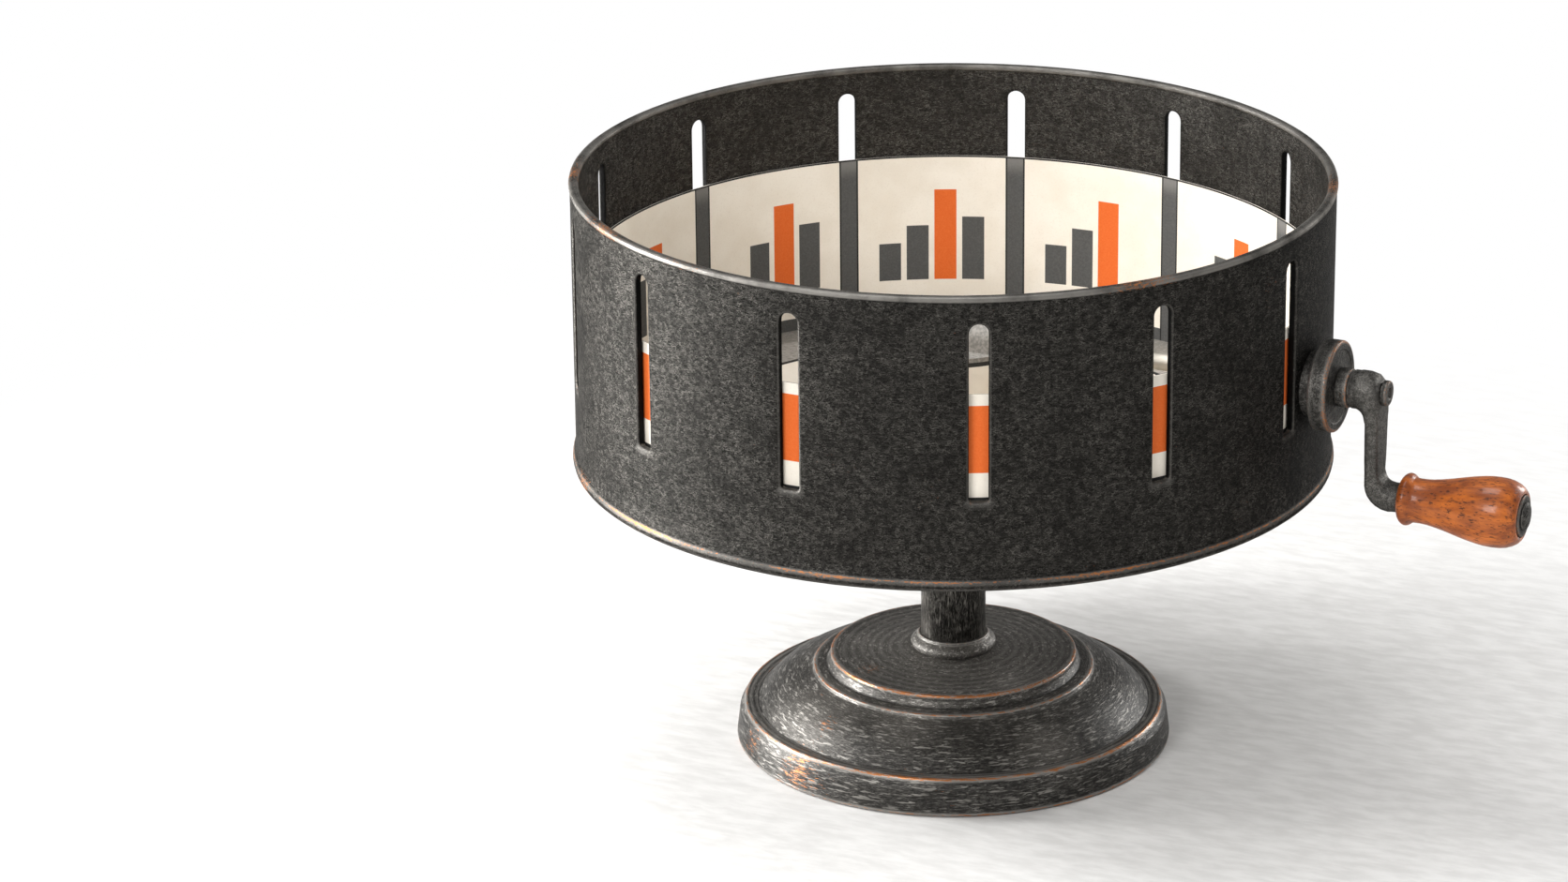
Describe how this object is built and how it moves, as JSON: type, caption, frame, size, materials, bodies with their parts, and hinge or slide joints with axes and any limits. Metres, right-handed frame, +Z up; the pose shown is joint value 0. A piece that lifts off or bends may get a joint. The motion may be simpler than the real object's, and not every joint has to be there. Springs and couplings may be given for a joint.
{
  "type": "zoetrope",
  "caption": "Zoetrope: a slotted open drum turning on a stepped round base, driven by a bevel-geared hand crank on its wall, with a picture strip inside.",
  "frame": {"origin": "centre of the underside of the base, on the spindle's axis", "axes": "+Z up along the spindle, +X out along the crank shaft"},
  "size_m": [0.3905, 0.3026, 0.2373],
  "materials": {
    "cast_black": "black graphite-like finish with copper wear on the edges",
    "drum_black": "matt black sheet steel",
    "felt": "dark green felt",
    "steel": "machined steel",
    "bronze": "bearing bronze",
    "crank_metal": "dark worn iron",
    "wood": "varnished orange brown wood",
    "card": "cream card, printed",
    "cream_paint": "cream paint on thin sheet"
  },
  "bodies": {
    "stand": {"base_casting": "cast_black", "base_felt": "felt", "column_tube": "cast_black", "column_collar": "cast_black", "base_washer": "steel", "base_nut": "steel", "thrust_washer": "bronze", "spacer_sleeve": "steel", "fixed_gear": "bronze", "spindle_post": "steel", "gear_pin": "steel", "post_nut": "steel"},
    "drum": {"drum_shell": "drum_black", "drum_floor": "drum_black", "drum_hub": "cast_black", "hub_bush": "bronze", "hub_screws": "steel", "inner_bracket": "cast_black", "bracket_bush": "bronze", "bracket_screws": "steel", "crank_bearing": "crank_metal", "bearing_nut": "steel", "floor_card": "card", "drive_cover": "cream_paint"},
    "crank": {"crank_shaft": "steel", "bevel_pinion": "steel", "pinion_pin": "steel", "shaft_collar": "steel", "collar_screw": "steel", "crank_plate": "crank_metal", "crank_neck": "crank_metal", "crank_arm": "crank_metal", "axle_end_screw": "crank_metal", "grip_pin": "steel", "end_washer": "steel", "end_cap": "steel"},
    "grip": {"wood_grip": "wood"},
    "strip": {"picture_strip": "card"}
  },
  "joints": [
    {"name": "drum_spin", "type": "hinge", "parent": "stand", "child": "drum", "pos_m": [0, 0, 0.126], "axis": [0, 0, 1], "continuous": true},
    {"name": "crank_turn", "type": "hinge", "parent": "drum", "child": "crank", "pos_m": [0, 0, 0.171], "axis": [1, 0, 0], "continuous": true},
    {"name": "grip_spin", "type": "hinge", "parent": "crank", "child": "grip", "pos_m": [0.2, 0, 0.129], "axis": [1, 0, 0], "continuous": true},
    {"name": "strip_lift", "type": "slide", "parent": "drum", "child": "strip", "axis": [0, 0, 1], "range_m": [0, 0.12]}
  ],
  "couplings": [
    {"joint": "crank_turn", "follows": "drum_spin", "ratio": -3}
  ]
}
